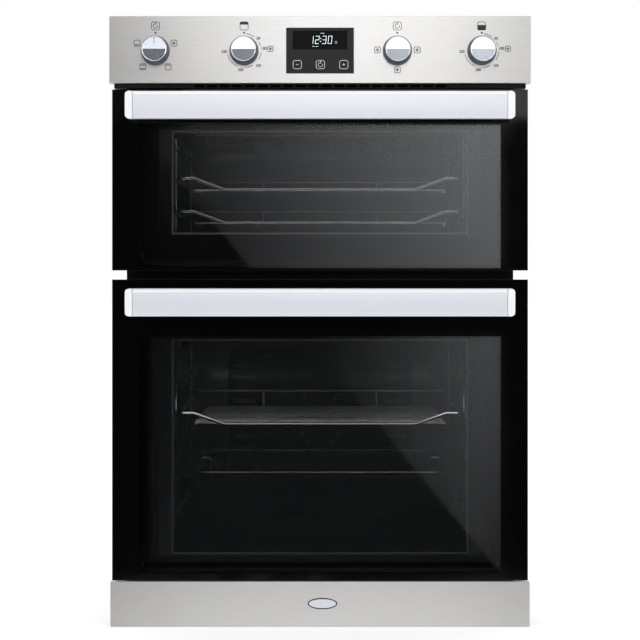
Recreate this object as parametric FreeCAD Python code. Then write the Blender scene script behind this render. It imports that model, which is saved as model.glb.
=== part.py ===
import FreeCAD, Part
import math
import os

# Built-in double wall oven.
# X runs left to right, Y runs from the front (negative) to the back, Z runs up.
# Depths are measured as "behind", the distance behind the front face of the door glass.
# The origin is the middle of the whole oven's footprint, on the surface that it stands on.

V = FreeCAD.Vector
SIDES = (-1, 1)

# ---------------------------------------------------------------- driving sizes, millimetres
OVERALL_WIDTH = 595.0
OVERALL_HEIGHT = 862.0
HANDLE_PROUD = 45.0
REAR_LIMIT = 574.0

SHEET = 1.5
RUNNING_FIT = 0.08
CLEARANCE = 0.4

DOOR_WIDTH = 587.0
UPPER_DOOR_BOTTOM = 503.0
UPPER_DOOR_TOP = 758.5
LOWER_DOOR_BOTTOM = 65.5
LOWER_DOOR_TOP = 490.2
GLASS = 4.0
DOOR_FRAME_WIDTH = 568.0
DOOR_FRAME_REAR = 36.0
DOOR_SHEET = 2.0
PIVOT_BEHIND = 20.0
PIVOT_ABOVE_EDGE = 20.0
PIN_RADIUS = 4.0
HINGE_X = 262.0
HINGE_ARM_WIDTH = 4.0
HINGE_SLOT_WIDTH = 7.0
MIDDLE_GLASS_HALF = 242.0
MIDDLE_GLASS_BEHIND = 17.0

BODY_HALF = 277.0
BODY_TOP = 852.0
FRAME_FRONT = 42.0
FRAME_SHEET = 2.0
FRAME_REAR = FRAME_FRONT + FRAME_SHEET
FRAME_TOP = 757.0
FLANGE_HALF = 293.0
FIXING_X = 286.0
FIXING_Z = (130.0, 690.0)
FIXING_RADIUS = 2.75
BODY_REAR = 557.5

CAVITY_HALF = 228.0
CAVITY_REAR = 444.0
UPPER_CAVITY = (550.0, 715.0)
LOWER_CAVITY = (95.0, 405.0)
INSULATION = 20.0
SEAL_WIDTH = 9.0

HANDLE_HALF = 271.0
HANDLE_CAP = 10.0
HANDLE_HEIGHT = 38.8
HANDLE_THICK = 13.0
HANDLE_POST_X = 259.0
UPPER_HANDLE_Z = 733.7
LOWER_HANDLE_Z = 458.7

FASCIA_BOTTOM = 767.0
FASCIA_FRONT = -3.0
TRIM_WIDTH = 592.0
TRIM_HEIGHT = 64.0
TRIM_SHEET = 1.2

KNOB_Z = 813.0
KNOB_X = {
    "upper_function": -232.0,
    "upper_thermostat": -107.0,
    "lower_function": 109.0,
    "lower_thermostat": 228.0,
}
KNOB_DEPTH = 25.0
KNOB_FACE_RADIUS = 18.0
KNOB_SKIRT_RADIUS = 20.5
KNOB_FOOT = FASCIA_FRONT - 0.8
SPINDLE_RADIUS = 3.0
BRACKET_FRONT = 14.0
DISPLAY = (-48.5, 48.5, 780.0, 846.0)

WIRE = 2.5
THIN_WIRE = 1.5
SHELF_HALF = 204.5
SHELF_FRONT = 62.0
SHELF_REAR = 406.0
SHELF_RISE = 16.5
SHELF_HEIGHTS = {"upper_shelf_top": 619.0, "upper_shelf_bottom": 571.0, "lower_shelf": 280.0}
RACK_X = 206.0
RACK_DROP = 5.2
RACK_PITCH_UPPER = 48.0
RACK_PITCH_LOWER = 46.0

PAN_RIM_Z = 203.7
PAN_HALF = 190.0
PAN_FRONT = 66.0
PAN_REAR = 408.0
PAN_DEPTH = 36.0
TRIVET_HALF = 174.0

FAN_Z = 250.0
GRILL_Z = 700.0
GRILL_LEGS = (-60.0, 60.0)
ELEMENT = 3.2
RING_RADIUS = 92.0
RING_LEG = 10.0
LEG_HOLE = 3.6
SHAFT_HOLE = 7.0
LAMP_X = 165.0
LAMP_HOLE = 24.0
UPPER_LAMP_Z = 680.0
LOWER_LAMP_Z = 375.0

DUCT_HALF = 200.0
DUCT_BOTTOM = 759.0
DUCT_TOP = 771.0
BLOWER_HALF = 75.0
BLOWER_BEHIND = 470.0
BLOWER_REACH = 70.0
BLOWER_TOP = 815.0

INLET_X = -175.0
INLET_BOSS_RADIUS = 7.8
INLET_BEHIND = BODY_REAR + INLET_BOSS_RADIUS
INLET_RADIUS = 5.5

# The whole oven reaches from the handles to the terminal box; its middle is at Y = 0.
GLASS_Y = -(REAR_LIMIT - HANDLE_PROUD) / 2.0


# ---------------------------------------------------------------- shape helpers
def box(left, right, front, rear, bottom, top):
    """A block between two X values, two depths behind the glass and two heights."""
    size = (right - left, rear - front, top - bottom)
    return Part.makeBox(*size, V(left, GLASS_Y + front, bottom))


def wide_box(half, front, rear, bottom, top):
    return box(-half, half, front, rear, bottom, top)


def point(x, behind, z):
    return V(x, GLASS_Y + behind, z)


def rod(start, end, radius):
    """A round rod from one (x, behind, z) point to another."""
    a = point(*start)
    b = point(*end)
    return Part.makeCylinder(radius, (b - a).Length, a, b - a)


def fuse(shapes):
    whole = shapes[0].multiFuse(shapes[1:]) if len(shapes) > 1 else shapes[0]
    return whole.removeSplitter()


def cut(shape, tools):
    return shape.cut(Part.makeCompound(tools)) if tools else shape


def bend_edges(points, bend, closed):
    """Straight runs joined by tangent arcs of one bend radius, through a list of vectors."""
    count = len(points)
    inner = range(count) if closed else range(1, count - 1)
    corners = {}
    for i in inner:
        before = (points[i - 1] - points[i]).normalize()
        after = (points[(i + 1) % count] - points[i]).normalize()
        half_turn = (math.pi - before.getAngle(after)) / 2.0
        back = bend * math.tan(half_turn)
        middle = (before + after).normalize() * (bend / math.cos(half_turn) - bend)
        corners[i] = (points[i] + before * back, points[i] + middle, points[i] + after * back)
    edges = []
    for i in range(count if closed else count - 1):
        j = (i + 1) % count
        start = corners[i][2] if i in corners else points[i]
        end = corners[j][0] if j in corners else points[j]
        edges.append(Part.makeLine(start, end))
        if j in corners:
            edges.append(Part.Arc(*corners[j]).toShape())
    return edges


def bent_rod(points, radius, bend, closed=False):
    """A round rod bent through (x, behind, z) points."""
    path = Part.Wire(bend_edges([point(*p) for p in points], bend, closed))
    first = path.Edges[0]
    start = first.valueAt(first.FirstParameter)
    section = Part.Wire(Part.makeCircle(radius, start, first.tangentAt(first.FirstParameter)))
    return path.makePipeShell([section], True, False)


def turned(profile, centre, axis):
    """A solid turned from (radius, distance along the axis) points about an axis through centre."""
    side = V(1, 0, 0)
    corners = [centre + side * r + axis * d for r, d in profile]
    face = Part.Face(Part.makePolygon(corners + corners[:1]))
    return face.revolve(centre, axis, 360)


def round_edges(shape, radius, keep):
    """Fillet the edges whose bounding box passes the test."""
    chosen = [edge for edge in shape.Edges if keep(edge.BoundBox)]
    return shape.makeFillet(radius, chosen)


def long_in_x(bounds):
    return bounds.XLength > 1 and bounds.YLength < 0.01 and bounds.ZLength < 0.01


def long_in_y(bounds):
    return bounds.YLength > 1 and bounds.XLength < 0.01 and bounds.ZLength < 0.01


def long_in_z(bounds):
    return bounds.ZLength > 1 and bounds.XLength < 0.01 and bounds.YLength < 0.01


# ---------------------------------------------------------------- casing
def base_plate():
    """The floor sheet, with two ribs that stiffen it."""
    floor = wide_box(BODY_HALF, FRAME_REAR, BODY_REAR - SHEET, 0, SHEET)
    ribs = []
    for s in SIDES:
        rib = box(s * 200 - 40, s * 200 + 40, 120, 480, SHEET, SHEET + 18)
        hollow = box(s * 200 - 38, s * 200 + 38, 110, 490, SHEET, SHEET + 16)
        ribs.append(rib.cut(hollow))
    return fuse([floor] + ribs)


def screw_places():
    """Places of the rear panel's screws, as X and Z pairs."""
    return [(s * (BODY_HALF - 7), z) for s in SIDES for z in (60, 300, 560, 800)]


def screw_holes(front, rear):
    return [rod((x, front, z), (x, rear, z), 1.8) for x, z in screw_places()]


def side_panel(side):
    outer = BODY_HALF * side
    wall = box(min(outer, outer - side * SHEET), max(outer, outer - side * SHEET),
               FRAME_REAR, BODY_REAR - SHEET, SHEET, BODY_TOP - SHEET)
    inner = outer - side * 14
    flange = box(min(outer, inner), max(outer, inner),
                 BODY_REAR - 2 * SHEET, BODY_REAR - SHEET, SHEET, BODY_TOP - SHEET)
    slots = [box(outer - 5, outer + 5, 300 + 26 * i, 318 + 26 * i, 806, 812) for i in range(8)]
    return cut(fuse([wall, flange]), slots + screw_holes(BODY_REAR - 10, BODY_REAR))


def top_cover():
    sheet = wide_box(BODY_HALF, FRAME_REAR, BODY_REAR - SHEET, BODY_TOP - SHEET, BODY_TOP)
    slots = [box(x - 3, x + 3, behind, behind + 60, BODY_TOP - 5, BODY_TOP + 5)
             for behind in (230, 420) for x in range(-150, 151, 20)]
    return cut(sheet, slots)


def rear_panel():
    sheet = wide_box(BODY_HALF, BODY_REAR - SHEET, BODY_REAR, 0, BODY_TOP)
    louvres = [box(-60, 60, BODY_REAR - 5, BODY_REAR + 5, z, z + 5) for z in range(190, 311, 15)]
    inlet = box(INLET_X - 30, INLET_X + 20, BODY_REAR - 5, BODY_REAR + 5, 772, 800)
    return cut(sheet, louvres + [inlet] + screw_holes(BODY_REAR - 5, BODY_REAR + 5))


def chassis_screws():
    screws = []
    for x, z in screw_places():
        head = rod((x, BODY_REAR, z), (x, BODY_REAR + 2.2, z), 3.6)
        shank = rod((x, BODY_REAR - 8, z), (x, BODY_REAR, z), 1.6)
        screws.append(fuse([head, shank]))
    return Part.makeCompound(screws)


def door_heights():
    return ((UPPER_DOOR_BOTTOM, UPPER_DOOR_TOP), (LOWER_DOOR_BOTTOM, LOWER_DOOR_TOP))


def front_frame():
    plate = wide_box(BODY_HALF, FRAME_FRONT, FRAME_REAR, 0, FRAME_TOP)
    flanges = [wide_box(FLANGE_HALF, FRAME_FRONT, FRAME_REAR, bottom + 4, top - 4)
               for bottom, top in door_heights()]
    mouths = [wide_box(CAVITY_HALF - 2, FRAME_FRONT - 5, FRAME_REAR + 5, bottom + 2, top - 2)
              for bottom, top in (UPPER_CAVITY, LOWER_CAVITY)]
    hinge_slots = [box(s * HINGE_X - 3.5, s * HINGE_X + 3.5, FRAME_FRONT - 5, FRAME_REAR + 5,
                       bottom + PIVOT_ABOVE_EDGE - 10, bottom + PIVOT_ABOVE_EDGE + 10)
                   for s in SIDES for bottom, top in door_heights()]
    fixings = [rod((x, FRAME_FRONT - 5, z), (x, FRAME_REAR + 5, z), FIXING_RADIUS)
               for x in (-FIXING_X, FIXING_X) for z in FIXING_Z]
    return cut(fuse([plate] + flanges), mouths + hinge_slots + fixings)


def bottom_trim():
    half = TRIM_WIDTH / 2.0
    face = wide_box(half, -TRIM_SHEET, 0, 0, TRIM_HEIGHT)
    bottom_fold = wide_box(half, 0, 24, 0, TRIM_SHEET)
    pieces = [face, bottom_fold]
    for s in SIDES:
        outer = s * half
        inner = s * (half - TRIM_SHEET)
        left = s * 180 - 15
        right = s * 180 + 15
        pieces.append(box(min(outer, inner), max(outer, inner), 0, 12, TRIM_SHEET, 52))
        pieces.append(box(left, right, 0, FRAME_FRONT, TRIM_SHEET, TRIM_SHEET + 2))
        pieces.append(box(left, right, FRAME_FRONT - 2, FRAME_FRONT, TRIM_SHEET + 2, 30))
    return fuse(pieces)


# ---------------------------------------------------------------- cavities
def cavity(heights, rear_holes):
    bottom, top = heights
    outside = wide_box(CAVITY_HALF + SHEET, FRAME_REAR, CAVITY_REAR + SHEET, bottom - SHEET, top + SHEET)
    inside = wide_box(CAVITY_HALF, FRAME_REAR - 5, CAVITY_REAR, bottom, top)
    inside = round_edges(inside, 14, long_in_y)
    return cut(outside.cut(inside), rear_holes)


def rear_hole(x, z, radius):
    return rod((x, CAVITY_REAR - 10, z), (x, CAVITY_REAR + 60, z), radius)


def upper_holes():
    legs = [rear_hole(x, GRILL_Z, LEG_HOLE) for x in GRILL_LEGS]
    return legs + [rear_hole(LAMP_X, UPPER_LAMP_Z, LAMP_HOLE)]


def lower_holes():
    legs = [rear_hole(s * RING_LEG, FAN_Z + RING_RADIUS, LEG_HOLE) for s in SIDES]
    shaft = rear_hole(0, FAN_Z, SHAFT_HOLE)
    return legs + [shaft, rear_hole(LAMP_X, LOWER_LAMP_Z, LAMP_HOLE)]


def insulation(heights, floor_gap, holes):
    bottom, top = heights
    gap = SHEET + 0.3
    outer_half = CAVITY_HALF + gap + INSULATION
    outside = wide_box(outer_half, FRAME_REAR + 6, CAVITY_REAR + gap + INSULATION,
                       bottom - gap - floor_gap - INSULATION, top + gap + INSULATION)
    inside = wide_box(CAVITY_HALF + gap, FRAME_REAR, CAVITY_REAR + gap, bottom - gap - floor_gap, top + gap)
    return cut(outside.cut(inside), holes)


def door_seal(heights):
    """A rubber ring round the cavity mouth, just clear of the closed door's inner glass."""
    bottom, top = heights
    front = DOOR_FRAME_REAR + GLASS + CLEARANCE
    ring = wide_box(CAVITY_HALF + SEAL_WIDTH, front, FRAME_FRONT, bottom - SEAL_WIDTH, top + SEAL_WIDTH)
    hole = wide_box(CAVITY_HALF, front - 2, FRAME_FRONT + 2, bottom, top)
    return round_edges(ring, 12, long_in_y).cut(round_edges(hole, 6, long_in_y))


def lamp(z):
    """A glass lens in a round holder, set in the cavity's rear wall."""
    centre = point(LAMP_X, CAVITY_REAR, z)
    profile = [(0, -16), (12, -14), (20, -8), (22, -0.5), (26, -0.5), (26, 0), (0, 0)]
    lens = turned(profile, centre, V(0, 1, 0))
    holder = rod((LAMP_X, CAVITY_REAR + 0.2, z), (LAMP_X, CAVITY_REAR + 58, z), LAMP_HOLE - 0.5)
    return Part.makeCompound([lens, holder])


# ---------------------------------------------------------------- heating and fans
def grill_element():
    """Three hairpins of heating tube under the cavity roof, with both legs through the rear wall."""
    front = 90.0
    rear = 400.0
    legs = CAVITY_REAR + 18
    path = [(GRILL_LEGS[0], legs, GRILL_Z), (GRILL_LEGS[0], front + 40, GRILL_Z),
            (-110, front + 40, GRILL_Z), (-110, rear, GRILL_Z), (-180, rear, GRILL_Z),
            (-180, front, GRILL_Z), (180, front, GRILL_Z), (180, rear, GRILL_Z),
            (110, rear, GRILL_Z), (110, front + 40, GRILL_Z),
            (GRILL_LEGS[1], front + 40, GRILL_Z), (GRILL_LEGS[1], legs, GRILL_Z)]
    return bent_rod(path, ELEMENT, 20)


def base_element():
    """A hairpin loop of heating tube under the upper cavity's floor."""
    z = UPPER_CAVITY[0] - SHEET - 6.5
    path = [(-30, 430, z), (-30, 340, z), (-170, 340, z), (-170, 110, z), (170, 110, z),
            (170, 340, z), (30, 340, z), (30, 430, z)]
    return bent_rod(path, ELEMENT, 24)


def ring_element():
    """A ring of heating tube round the fan, with two legs through the rear wall."""
    ring_behind = CAVITY_REAR - 14
    centre = point(0, ring_behind, FAN_Z)
    ring = Part.makeTorus(RING_RADIUS, ELEMENT, centre, V(0, 1, 0))
    legs = [rod((s * RING_LEG, ring_behind, FAN_Z + RING_RADIUS),
                (s * RING_LEG, CAVITY_REAR + 18, FAN_Z + RING_RADIUS), ELEMENT) for s in SIDES]
    return fuse([ring] + legs)


def fan_blade(angle, radius, front, rear):
    blade = box(26, radius - 2, front, rear, -0.8, 0.8)
    blade.rotate(V(0, 0, 0), V(0, 1, 0), angle)
    blade.translate(V(0, 0, FAN_Z))
    return blade


def oven_fan_impeller():
    front = CAVITY_REAR - 24
    disc_front = CAVITY_REAR - 6
    radius = 72.0
    disc = rod((0, disc_front, FAN_Z), (0, disc_front + 1.2, FAN_Z), radius)
    hub = rod((0, front, FAN_Z), (0, disc_front, FAN_Z), 12)
    shaft = rod((0, disc_front, FAN_Z), (0, CAVITY_REAR + 46, FAN_Z), 4)
    blades = [fan_blade(a, radius, front, disc_front) for a in range(0, 360, 30)]
    return fuse([disc, hub, shaft] + blades)


def oven_fan_motor():
    front = CAVITY_REAR + 26
    can = rod((0, front, FAN_Z), (0, front + 48, FAN_Z), 34)
    plate = box(-55, 55, front, front + 2, FAN_Z - 20, FAN_Z + 20)
    bore = rod((0, front - 5, FAN_Z), (0, CAVITY_REAR + 47, FAN_Z), 4 + RUNNING_FIT)
    return cut(fuse([can, plate]), [bore])


def fan_cover():
    """The perforated inner back of the lower cavity."""
    front = CAVITY_REAR - 30
    rear = front + SHEET
    plate = wide_box(150, front, rear, FAN_Z - 120, FAN_Z + 120)
    plate = round_edges(plate, 20, long_in_y)
    rims = [box(s * 150 - 3, s * 150 + 3, rear, CAVITY_REAR, FAN_Z - 60, FAN_Z + 60) for s in SIDES]
    rims = [rim.common(wide_box(150, rear, CAVITY_REAR, FAN_Z - 60, FAN_Z + 60)) for rim in rims]
    holes = []
    for radius, count, hole in ((16, 6, 5), (34, 12, 5), (52, 18, 5)):
        for i in range(count):
            angle = 2 * math.pi * i / count
            x = radius * math.cos(angle)
            z = FAN_Z + radius * math.sin(angle)
            holes.append(rod((x, front - 2, z), (x, rear + 2, z), hole))
    for z in range(-95, 96, 19):
        for s in SIDES:
            x = s * 122
            holes.append(box(x - 16, x + 16, front - 2, rear + 2, FAN_Z + z - 3, FAN_Z + z + 3))
    return cut(fuse([plate] + rims), holes)


def cooling_fan_housing():
    """A blower box with a flat duct that ends behind the air outlet grille."""
    duct_front = FRAME_REAR + 2
    blower_front = BLOWER_BEHIND - BLOWER_REACH
    blower_rear = BLOWER_BEHIND + BLOWER_REACH
    duct = wide_box(DUCT_HALF, duct_front, blower_front + 10, DUCT_BOTTOM, DUCT_TOP)
    blower = wide_box(BLOWER_HALF, blower_front, blower_rear, DUCT_BOTTOM, BLOWER_TOP)
    duct_air = wide_box(DUCT_HALF - SHEET, duct_front - 5, blower_front - SHEET,
                        DUCT_BOTTOM + SHEET, DUCT_TOP - SHEET)
    blower_air = wide_box(BLOWER_HALF - SHEET, blower_front + SHEET, blower_rear - SHEET,
                          DUCT_BOTTOM + SHEET, BLOWER_TOP - SHEET)
    link = wide_box(60, blower_front - 10, blower_front + 20, DUCT_BOTTOM + SHEET, DUCT_TOP - SHEET)
    inlet = rod((0, BLOWER_BEHIND, BLOWER_TOP - 5), (0, BLOWER_BEHIND, BLOWER_TOP + 5), 45)
    return cut(fuse([duct, blower]), [duct_air, blower_air, link, inlet])


def cooling_fan_motor():
    bottom = BLOWER_TOP
    can = rod((0, BLOWER_BEHIND, bottom), (0, BLOWER_BEHIND, bottom + 30), 28)
    bar = wide_box(62, BLOWER_BEHIND - 8, BLOWER_BEHIND + 8, bottom, bottom + 2)
    bore = rod((0, BLOWER_BEHIND, bottom - 2), (0, BLOWER_BEHIND, bottom + 22), 3 + RUNNING_FIT)
    return cut(fuse([can, bar]), [bore])


def cooling_fan_impeller():
    bottom = DUCT_BOTTOM + 6
    top = BLOWER_TOP - 8
    disc = rod((0, BLOWER_BEHIND, bottom), (0, BLOWER_BEHIND, bottom + 1.5), 50)
    ring = rod((0, BLOWER_BEHIND, top - 2), (0, BLOWER_BEHIND, top), 50)
    ring = ring.cut(rod((0, BLOWER_BEHIND, top - 5), (0, BLOWER_BEHIND, top + 5), 40))
    shaft = rod((0, BLOWER_BEHIND, bottom), (0, BLOWER_BEHIND, BLOWER_TOP + 20), 3)
    vanes = []
    for i in range(20):
        vane = Part.makeBox(8, 1.2, top - bottom - 1, V(41, -0.6, bottom + 0.5))
        vane.rotate(V(0, 0, 0), V(0, 0, 1), 18 * i)
        vane.translate(V(0, GLASS_Y + BLOWER_BEHIND, 0))
        vanes.append(vane)
    return fuse([disc, ring, shaft] + vanes)


# ---------------------------------------------------------------- controls
def fascia_panel():
    half = OVERALL_WIDTH / 2.0
    rear = 18.0
    outside = wide_box(half, FASCIA_FRONT, rear, FASCIA_BOTTOM, OVERALL_HEIGHT)
    inside = wide_box(half - SHEET, FASCIA_FRONT + SHEET, rear + 5,
                      FASCIA_BOTTOM + SHEET, OVERALL_HEIGHT - SHEET)
    holes = [rod((x, FASCIA_FRONT - 5, KNOB_Z), (x, FASCIA_FRONT + 5, KNOB_Z), 5) for x in KNOB_X.values()]
    left, right, bottom, top = DISPLAY
    window = box(left + 2, right - 2, FASCIA_FRONT - 5, FASCIA_FRONT + 5, bottom + 2, top - 2)
    return cut(outside.cut(inside), holes + [window])


def display_window():
    left, right, bottom, top = DISPLAY
    front = FASCIA_FRONT - 1.0
    bezel = box(left, right, front, FASCIA_FRONT, bottom, top)
    bezel = bezel.makeChamfer(0.7, [e for e in bezel.Edges if e.BoundBox.YMax < GLASS_Y + front + 0.01])
    plug = box(left + 2.3, right - 2.3, FASCIA_FRONT, FASCIA_FRONT + 3, bottom + 2.3, top - 2.3)
    return fuse([bezel, plug])


def control_bracket():
    """A folded plate behind the fascia that carries the switches and the timer."""
    half = BODY_HALF - SHEET - 1
    bottom = DUCT_TOP + 2
    top = BODY_TOP - SHEET - 1
    plate = wide_box(half, BRACKET_FRONT, BRACKET_FRONT + SHEET, bottom, top)
    sides = [box(min(s * half, s * (half - SHEET)), max(s * half, s * (half - SHEET)),
                 BRACKET_FRONT, 90, bottom, top) for s in SIDES]
    left, right, low, high = DISPLAY
    window = box(left - 1, right + 1, BRACKET_FRONT - 2, BRACKET_FRONT + 4, low - 1, high + 1)
    holes = [rod((x, BRACKET_FRONT - 2, KNOB_Z), (x, BRACKET_FRONT + 4, KNOB_Z), 5) for x in KNOB_X.values()]
    return cut(fuse([plate] + sides), holes + [window])


def timer_module():
    left, right, bottom, top = DISPLAY
    case = box(left + 1, right - 1, FASCIA_FRONT + 3.2, 40, bottom + 3, top - 3)
    plugs = [box(x, x + 18, 40, 46, bottom + 8, bottom + 16) for x in (-36, 4)]
    return fuse([case] + plugs)


def function_switch(x):
    """A round cam switch with a stack of contact plates."""
    front = BRACKET_FRONT + SHEET
    mount = box(x - 19, x + 19, front, front + 3, KNOB_Z - 19, KNOB_Z + 19)
    stack = [rod((x, front + 3, KNOB_Z), (x, front + 36, KNOB_Z), 15)]
    stack += [box(x - 17, x + 17, front + 6 + 10 * i, front + 11 + 10 * i, KNOB_Z - 17, KNOB_Z + 17)
              for i in range(3)]
    return cut(fuse([mount] + stack), [spindle_bore(x)])


def thermostat(x):
    """A flat thermostat body with terminals at its side."""
    front = BRACKET_FRONT + SHEET
    body = box(x - 20, x + 20, front, front + 34, KNOB_Z - 16, KNOB_Z + 16)
    tabs = [box(x - 12 + 12 * i, x - 8 + 12 * i, front + 34, front + 42, KNOB_Z - 6, KNOB_Z - 5)
            for i in range(3)]
    return cut(fuse([body] + tabs), [spindle_bore(x)])


def spindle_bore(x):
    return rod((x, BRACKET_FRONT - 2, KNOB_Z), (x, BRACKET_FRONT + 28, KNOB_Z),
               SPINDLE_RADIUS + RUNNING_FIT)


def knob(x):
    """A cap with a conical skirt, and the spindle that it sits on."""
    centre = point(x, KNOB_FOOT, KNOB_Z)
    out = V(0, -1, 0)
    profile = [(0, 0), (KNOB_SKIRT_RADIUS, 0), (KNOB_SKIRT_RADIUS, 3.5), (KNOB_FACE_RADIUS + 0.8, 20),
               (KNOB_FACE_RADIUS, 22), (KNOB_FACE_RADIUS - 1.2, KNOB_DEPTH - 1.2), (0, KNOB_DEPTH - 1.2)]
    socket = rod((x, KNOB_FOOT - 16, KNOB_Z), (x, KNOB_FOOT + 1, KNOB_Z), SPINDLE_RADIUS + 0.05)
    cap = turned(profile, centre, out).cut(socket)
    spindle = rod((x, KNOB_FOOT - 15.5, KNOB_Z), (x, BRACKET_FRONT + 26, KNOB_Z), SPINDLE_RADIUS)
    return Part.makeCompound([cap, spindle])


def air_outlet_grille():
    """The black slotted strip between the fascia and the upper door."""
    half = 291.0
    bottom = 760.4
    top = FASCIA_BOTTOM - 0.4
    strip = wide_box(half, 4, FRAME_REAR, bottom, top)
    slots = [box(x - 7, x + 7, 0, FRAME_REAR + 5, bottom + 1.6, top - 1.6) for x in range(-171, 172, 18)]
    return cut(strip, slots)


def terminal_box():
    """The connection box on the rear panel, with the cable inlet in its underside."""
    half = 40.0
    wall = 3.0
    bottom = 758.0
    top = 812.0
    boss_bottom = bottom - 8
    shell = box(INLET_X - half, INLET_X + half, BODY_REAR, REAR_LIMIT, bottom, top)
    hollow = box(INLET_X - half + wall, INLET_X + half - wall, BODY_REAR - 1, REAR_LIMIT - wall,
                 bottom + wall, top - wall)
    boss = rod((INLET_X, INLET_BEHIND, boss_bottom), (INLET_X, INLET_BEHIND, bottom + wall),
               INLET_BOSS_RADIUS)
    inlet = rod((INLET_X, INLET_BEHIND, boss_bottom - 5), (INLET_X, INLET_BEHIND, bottom + 2 * wall),
                INLET_RADIUS)
    return fuse([shell.cut(hollow), boss]).cut(inlet)


# ---------------------------------------------------------------- doors
def outer_glass(bottom, top, handle_z):
    pane = wide_box(DOOR_WIDTH / 2.0, 0, GLASS, bottom, top)
    pane = round_edges(pane, 3, long_in_y)
    holes = [rod((x, -2, handle_z), (x, GLASS + 2, handle_z), 3.4)
             for x in (-HANDLE_POST_X, HANDLE_POST_X)]
    return cut(pane, holes)


def inner_window(bottom, heights):
    """Bottom and top of the inner glass: it covers the cavity mouth and the seal."""
    low, high = heights
    return max(bottom + PIVOT_ABOVE_EDGE - 2, low - 22), high + 22


def glass_channels(heights):
    """Two upright channels that hold the edges of a middle glass."""
    low, high = heights
    channels = []
    for s in SIDES:
        inner = s * (MIDDLE_GLASS_HALF - 3)
        outer = s * (MIDDLE_GLASS_HALF + 3)
        channels.append(box(min(inner, outer), max(inner, outer), MIDDLE_GLASS_BEHIND - 3,
                            DOOR_FRAME_REAR - 1, low + 20, high - 20))
    groove = wide_box(MIDDLE_GLASS_HALF + 0.1, MIDDLE_GLASS_BEHIND - 0.1,
                      MIDDLE_GLASS_BEHIND + GLASS + 0.1, low, high)
    return [channel.cut(groove) for channel in channels]


def door_frame(bottom, top, heights, extra):
    """A folded tray behind the outer glass, with a window, hinge cheeks and vent slots on top."""
    half = DOOR_FRAME_WIDTH / 2.0
    outside = wide_box(half, GLASS, DOOR_FRAME_REAR, bottom + 1, top - 1)
    outside = round_bottom_rear(outside, bottom + 1, DOOR_FRAME_REAR, 14)
    inside = wide_box(half - DOOR_SHEET, GLASS - 2, DOOR_FRAME_REAR - DOOR_SHEET,
                      bottom + 1 + DOOR_SHEET, top - 1 - DOOR_SHEET)
    inside = round_bottom_rear(inside, bottom + 1 + DOOR_SHEET, DOOR_FRAME_REAR - DOOR_SHEET, 12)
    low, high = heights
    aperture = wide_box(CAVITY_HALF + 2, GLASS + 2, DOOR_FRAME_REAR + 4, low, high)
    slots = [box(x - 12, x + 12, GLASS + 8, DOOR_FRAME_REAR - 8, top - 5, top + 2)
             for x in range(-210, 211, 35)]
    pivot_z = bottom + PIVOT_ABOVE_EDGE
    cheeks = []
    arm_slots = []
    for s in SIDES:
        for offset in (-6.5, 4.5):
            x = s * HINGE_X + offset
            cheeks.append(box(x, x + 2, GLASS, DOOR_FRAME_REAR - 1, bottom + 1.5, pivot_z + 22))
        x = s * HINGE_X
        arm_slots.append(box(x - HINGE_SLOT_WIDTH / 2, x + HINGE_SLOT_WIDTH / 2, GLASS + 4,
                             DOOR_FRAME_REAR + 2, bottom - 1, pivot_z + 12))
    cheeks = [cheek.common(outside) for cheek in cheeks]
    pins = [pin_rod(s, pivot_z, PIN_RADIUS + 0.02, 30) for s in SIDES]
    tray = fuse([outside.cut(inside)] + cheeks + extra)
    return cut(tray, [aperture] + slots + arm_slots + pins)


def round_bottom_rear(shape, bottom, rear, radius):
    """Round the lower rear edge, so that it clears the front frame as the door swings."""
    def lower_rear(bounds):
        at_rear = abs(bounds.YMax - GLASS_Y - rear) < 0.01
        return long_in_x(bounds) and at_rear and abs(bounds.ZMin - bottom) < 0.01
    return round_edges(shape, radius, lower_rear)


def pin_rod(side, pivot_z, radius, length):
    x = side * HINGE_X
    left = (x - length / 2, PIVOT_BEHIND, pivot_z)
    right = (x + length / 2, PIVOT_BEHIND, pivot_z)
    return rod(left, right, radius)


def hinge_pins(bottom):
    pivot_z = bottom + PIVOT_ABOVE_EDGE
    pins = []
    for s in SIDES:
        x = s * HINGE_X
        shank = pin_rod(s, pivot_z, PIN_RADIUS, 18)
        heads = [rod((x + e * 9, PIVOT_BEHIND, pivot_z), (x + e * 10.5, PIVOT_BEHIND, pivot_z), 5.5)
                 for e in SIDES]
        pins.append(fuse([shank] + heads))
    return Part.makeCompound(pins)


def hinge_arm(side, pivot_z):
    """A flat steel arm from the casing to an eye round the door's pin."""
    left = side * HINGE_X - HINGE_ARM_WIDTH / 2.0
    right = left + HINGE_ARM_WIDTH
    eye = rod((left, PIVOT_BEHIND, pivot_z), (right, PIVOT_BEHIND, pivot_z), 8)
    arm = box(left, right, PIVOT_BEHIND, FRAME_REAR + 80, pivot_z - 6, pivot_z + 6)
    foot = box(min(left, side * (BODY_HALF - SHEET)), max(right, side * (BODY_HALF - SHEET)),
               FRAME_REAR + 20, FRAME_REAR + 80, pivot_z - 8, pivot_z + 8)
    bore = pin_rod(side, pivot_z, PIN_RADIUS + RUNNING_FIT, HINGE_ARM_WIDTH + 4)
    return fuse([eye, arm, foot]).cut(bore)


def hinge_arms():
    return Part.makeCompound([hinge_arm(s, bottom + PIVOT_ABOVE_EDGE)
                              for bottom, top in door_heights() for s in SIDES])


def inner_glass(bottom, heights):
    low, high = inner_window(bottom, heights)
    pane = wide_box(CAVITY_HALF + 22, DOOR_FRAME_REAR, DOOR_FRAME_REAR + GLASS, low, high)
    return round_edges(pane, 6, long_in_y)


def middle_glass(heights):
    low, high = heights
    rear = MIDDLE_GLASS_BEHIND + GLASS
    return wide_box(MIDDLE_GLASS_HALF, MIDDLE_GLASS_BEHIND, rear, low - 6, high + 14)


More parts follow.
